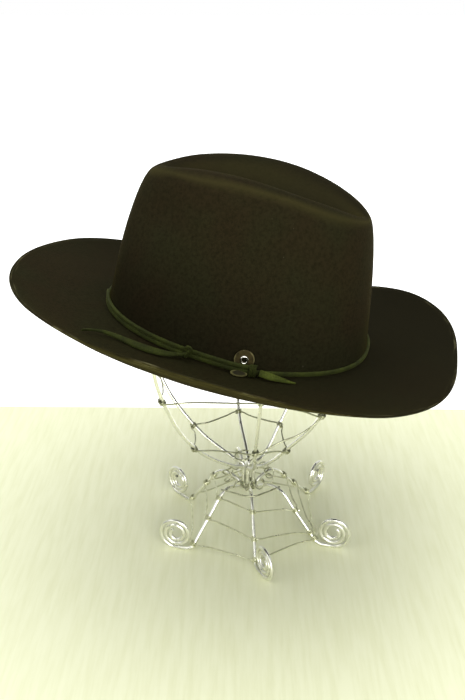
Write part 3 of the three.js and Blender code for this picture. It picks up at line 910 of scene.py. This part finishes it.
def makeWraps():
    # a few tight turns of thin wire tie each ring to each long wire
    values = wrapShape
    radius = standShape["heavy"] + standShape["light"]
    wide = radius * values["oval"]
    points = []
    for k in range(values["turns"] * values["perTurn"] + 1):
        turn = k / values["perTurn"] * fullTurn
        along = (k / values["perTurn"] - values["turns"] / 2) * values["pitch"]
        points.append(Vector((math.cos(turn) * wide, math.sin(turn) * radius, along)) * mm)
    first = roundWire("wrap", points, standShape["light"] * values["thin"] * mm, fineness=1)
    wraps = []
    for number, (place, direction) in enumerate(wrapPlaces):
        wrap = first.copy()
        wrap.data = first.data.copy()
        bpy.context.scene.collection.objects.link(wrap)
        turned = direction.to_track_quat("Z", "X").to_matrix() @ Euler((0, 0, number)).to_matrix()
        settle(wrap, Matrix.Translation(place) @ turned.to_4x4())
        wraps.append(wrap)
    bpy.data.objects.remove(first)
    onLegs = 3 * len(standWires)  # three rings round the legs come first
    done(joined(wraps[:onLegs], "standWrapsLeg"), brightBinding, "wire")
    done(joined(wraps[onLegs:], "standWrapsBowl"), bindingMaterial, "wire")


hubShape = {
    "bottom": 36.5,  # mm, as are the pitch and radii
    "turns": 3,
    "pitch": 1.35,
    "radius": 6.6,
    "light": 0.65,
}
looseShape = {  # the loop that its loose end makes: mm and degrees
    "radius": 6.2,
    "aside": 5.5,
    "height": 63.5,
    "rise": 0.25,
    "start": 150,
    "step": 24,
    "count": 17,
}
braceDrops = ((0, 0), (0.35, 1), (0.65, 4), (1, 0))  # shares of its length, and mm it sags there
curlShape = {
    "ring": 18.5,
    "height": 47.5,
    "loops": 11,
    "perLoop": 8,
    "loop": 3.6,
    "light": 0.55,
    "shoulder": ((-52, 29), (-30, 26), (4, 28), (32, 26), (64, 29)),  # the plain stretch: degrees, reach
    "shoulderHeight": 43.4,
}


def makeHub():
    # a few turns of thin wire hold the six long wires together, and end in one loose loop at the top
    values = hubShape
    points = []
    for k in range(values["turns"] * 12 + 1):
        height = values["bottom"] + k / 12 * values["pitch"]
        points.append(standPoint(k * 30, values["radius"], height))
    coil = roundWire("coil", points, values["light"] * mm, fineness=2)
    loop = looseShape
    loose = []
    for k in range(loop["count"]):
        angle = math.radians(loop["start"] - loop["step"] * k)
        x, y = math.cos(angle) * loop["radius"], math.sin(angle) * loop["radius"] - loop["aside"]
        height = loop["height"] + loop["rise"] * k + math.sin(angle)
        loose.append(postAxis + Vector((x, y, height)) * mm)
    piece = joined([coil, roundWire("loose", loose, values["light"] * mm, fineness=3)], "standHubCoil")
    done(piece, bindingMaterial, "wire", "stand_post")


def makeBrace():
    # one stray thin wire of the web, from low on the first rib to high on the second
    first, second = (wire["rib"] for wire in standWires[:2])
    clear = (standShape["heavy"] + standShape["light"]) * mm
    start, end = bowlPoint(first, first["low"]), bowlPoint(second, second["high"])
    points = [start.lerp(end, t) - Vector((0, 0, drop * mm)) for t, drop in braceDrops]
    points = [point + Vector((clear, clear, 0)) for point in points]
    piece = roundWire("standBrace", points, standShape["light"] * mm, fineness=8)
    done(piece, bindingMaterial, "wire")


def makeCurls():
    # a ring of small curls just inside the legs' shoulders, and a plain stretch along three of them
    values = curlShape
    points = []
    total = values["loops"] * values["perLoop"]
    for k in range(total):
        angle = k / total * 360
        turn = k / values["perLoop"] * fullTurn
        reach = values["ring"] + values["loop"] * math.cos(turn)
        points.append(standPoint(angle, reach, values["height"] + values["loop"] * math.sin(turn)))
    curls = roundWire("curls", points, values["light"] * mm, True, 2)
    shoulder = [standPoint(*place, values["shoulderHeight"]) for place in values["shoulder"]]
    piece = joined([curls, roundWire("ring", shoulder, standShape["light"] * mm, fineness=8)], "standCurls")
    done(piece, bindingMaterial, "wire")


makeLongWires()
makeWebs()
makeWraps()
makeHub()
makeBrace()
makeCurls()
print("wire stand made")

stageLook = {
    "table": "#f4f6d4",
    "grain": "#eaecc4",
    "grainSize": 60,  # mm
    "tableEnd": -0.214,  # metres behind the post
    "blur": 0.0015,  # metres, half of the soft line where the table ends
    "glow": 0.7,  # the backdrop's own light
    "sky": "#fdfff8",
    "room": 0.06,  # brightness of the studio's dim side,
    "ceiling": 0.75,  # of its ceiling,
    "back": 0.7,  # and of the wall behind the object
}


def makeFloor():
    look = stageLook
    bpy.ops.mesh.primitive_plane_add(size=14, location=(0, 0, 0))
    floor = bpy.context.object
    floor.name = "floor"
    material, shader = newMaterial("paleTable")
    coords = addNode(material, "TexCoord", output="Object")
    stretched = addNode(material, "Mapping", {"Vector": coords, "Scale": (1, 12, 1)})
    share = blotches(material, look["grainSize"], 0.4, 0.75, 5, 0.6, stretched)
    wood = addNode(material, "Mix", {"data_type": "RGBA", 0: share, 6: look["table"], 7: look["grain"]}, 2)
    x = addNode(material, "SeparateXYZ", {"Vector": coords}, "X")
    edge = postCentre.x + look["tableEnd"]
    ends = {"From Min": edge - look["blur"], "From Max": edge + look["blur"]}
    onTable = addNode(material, "MapRange", {"Value": x, **ends})
    colour = addNode(material, "Mix", {"data_type": "RGBA", 0: onTable, 6: "#ffffff", 7: wood}, 2)
    connect(material, colour, shader.inputs["Base Color"])
    shader.inputs["Roughness"].default_value = 0.55
    glow = addNode(material, "MapRange", {"Value": onTable, "To Min": look["glow"], "To Max": 0})
    shader.inputs["Emission Color"].default_value = (1, 1, 1, 1)
    connect(material, glow, shader.inputs["Emission Strength"])
    floor.data.materials.append(material)


lamps = (  # name, place, aim, size, watts
    ("softFront", (1.8, 0.6, 0.8), (0, 0, 0.22), 1.2, 20),
    ("softLow", (2.0, -0.1, 0.5), (0, 0, 0.03), 0.9, 11),
    ("softLeft", (1.0, -1.6, 1.3), (0, 0, 0.2), 1.0, 6),
    ("softTop", (-0.5, -0.1, 1.9), (-0.1, 0, 0), 2.6, 25),
)


def makeLight():
    # a white studio whose walls are bright above and behind the object and dim on the near side
    look = stageLook
    world = bpy.data.worlds.new("studio")
    bpy.context.scene.world = world
    world.use_nodes = True
    walls = world.node_tree.nodes["Background"]
    walls.inputs["Color"].default_value = linear(look["sky"])
    direction = addNode(world, "TexCoord", output="Generated")
    sides = []
    for axis, begin, full, brightness in (("Z", 0.3, 0.8, look["ceiling"]), ("X", 0, -0.6, look["back"])):
        along = addNode(world, "SeparateXYZ", {"Vector": direction}, axis)
        ends = {"From Min": begin, "From Max": full, "To Max": brightness}
        sides.append(addNode(world, "MapRange", {"Value": along, **ends}))
    bright = addNode(world, "Math", {"operation": "MAXIMUM", 0: sides[0], 1: sides[1]})
    level = addNode(world, "MapRange", {"Value": bright, "To Min": look["room"]})
    connect(world, level, walls.inputs["Strength"])
    # the camera sees plain white where nothing stands
    plain = addNode(world, "Background", {"Color": (1, 1, 1, 1)})
    seen = addNode(world, "LightPath", output="Is Camera Ray")
    mixed = addNode(world, "MixShader", {0: seen, 1: walls.outputs[0], 2: plain})
    connect(world, mixed, world.node_tree.nodes["World Output"].inputs["Surface"])
    for name, place, aim, size, watts in lamps:
        bpy.ops.object.light_add(type="AREA", location=place)
        lamp = bpy.context.object
        lamp.name = name
        lamp.rotation_euler = (Vector(aim) - Vector(place)).to_track_quat("-Z", "Y").to_euler()
        lamp.data.size = size
        lamp.data.energy = watts


makeFloor()
makeLight()
bpy.context.scene.view_settings.view_transform = "Standard"
print("stage lit")
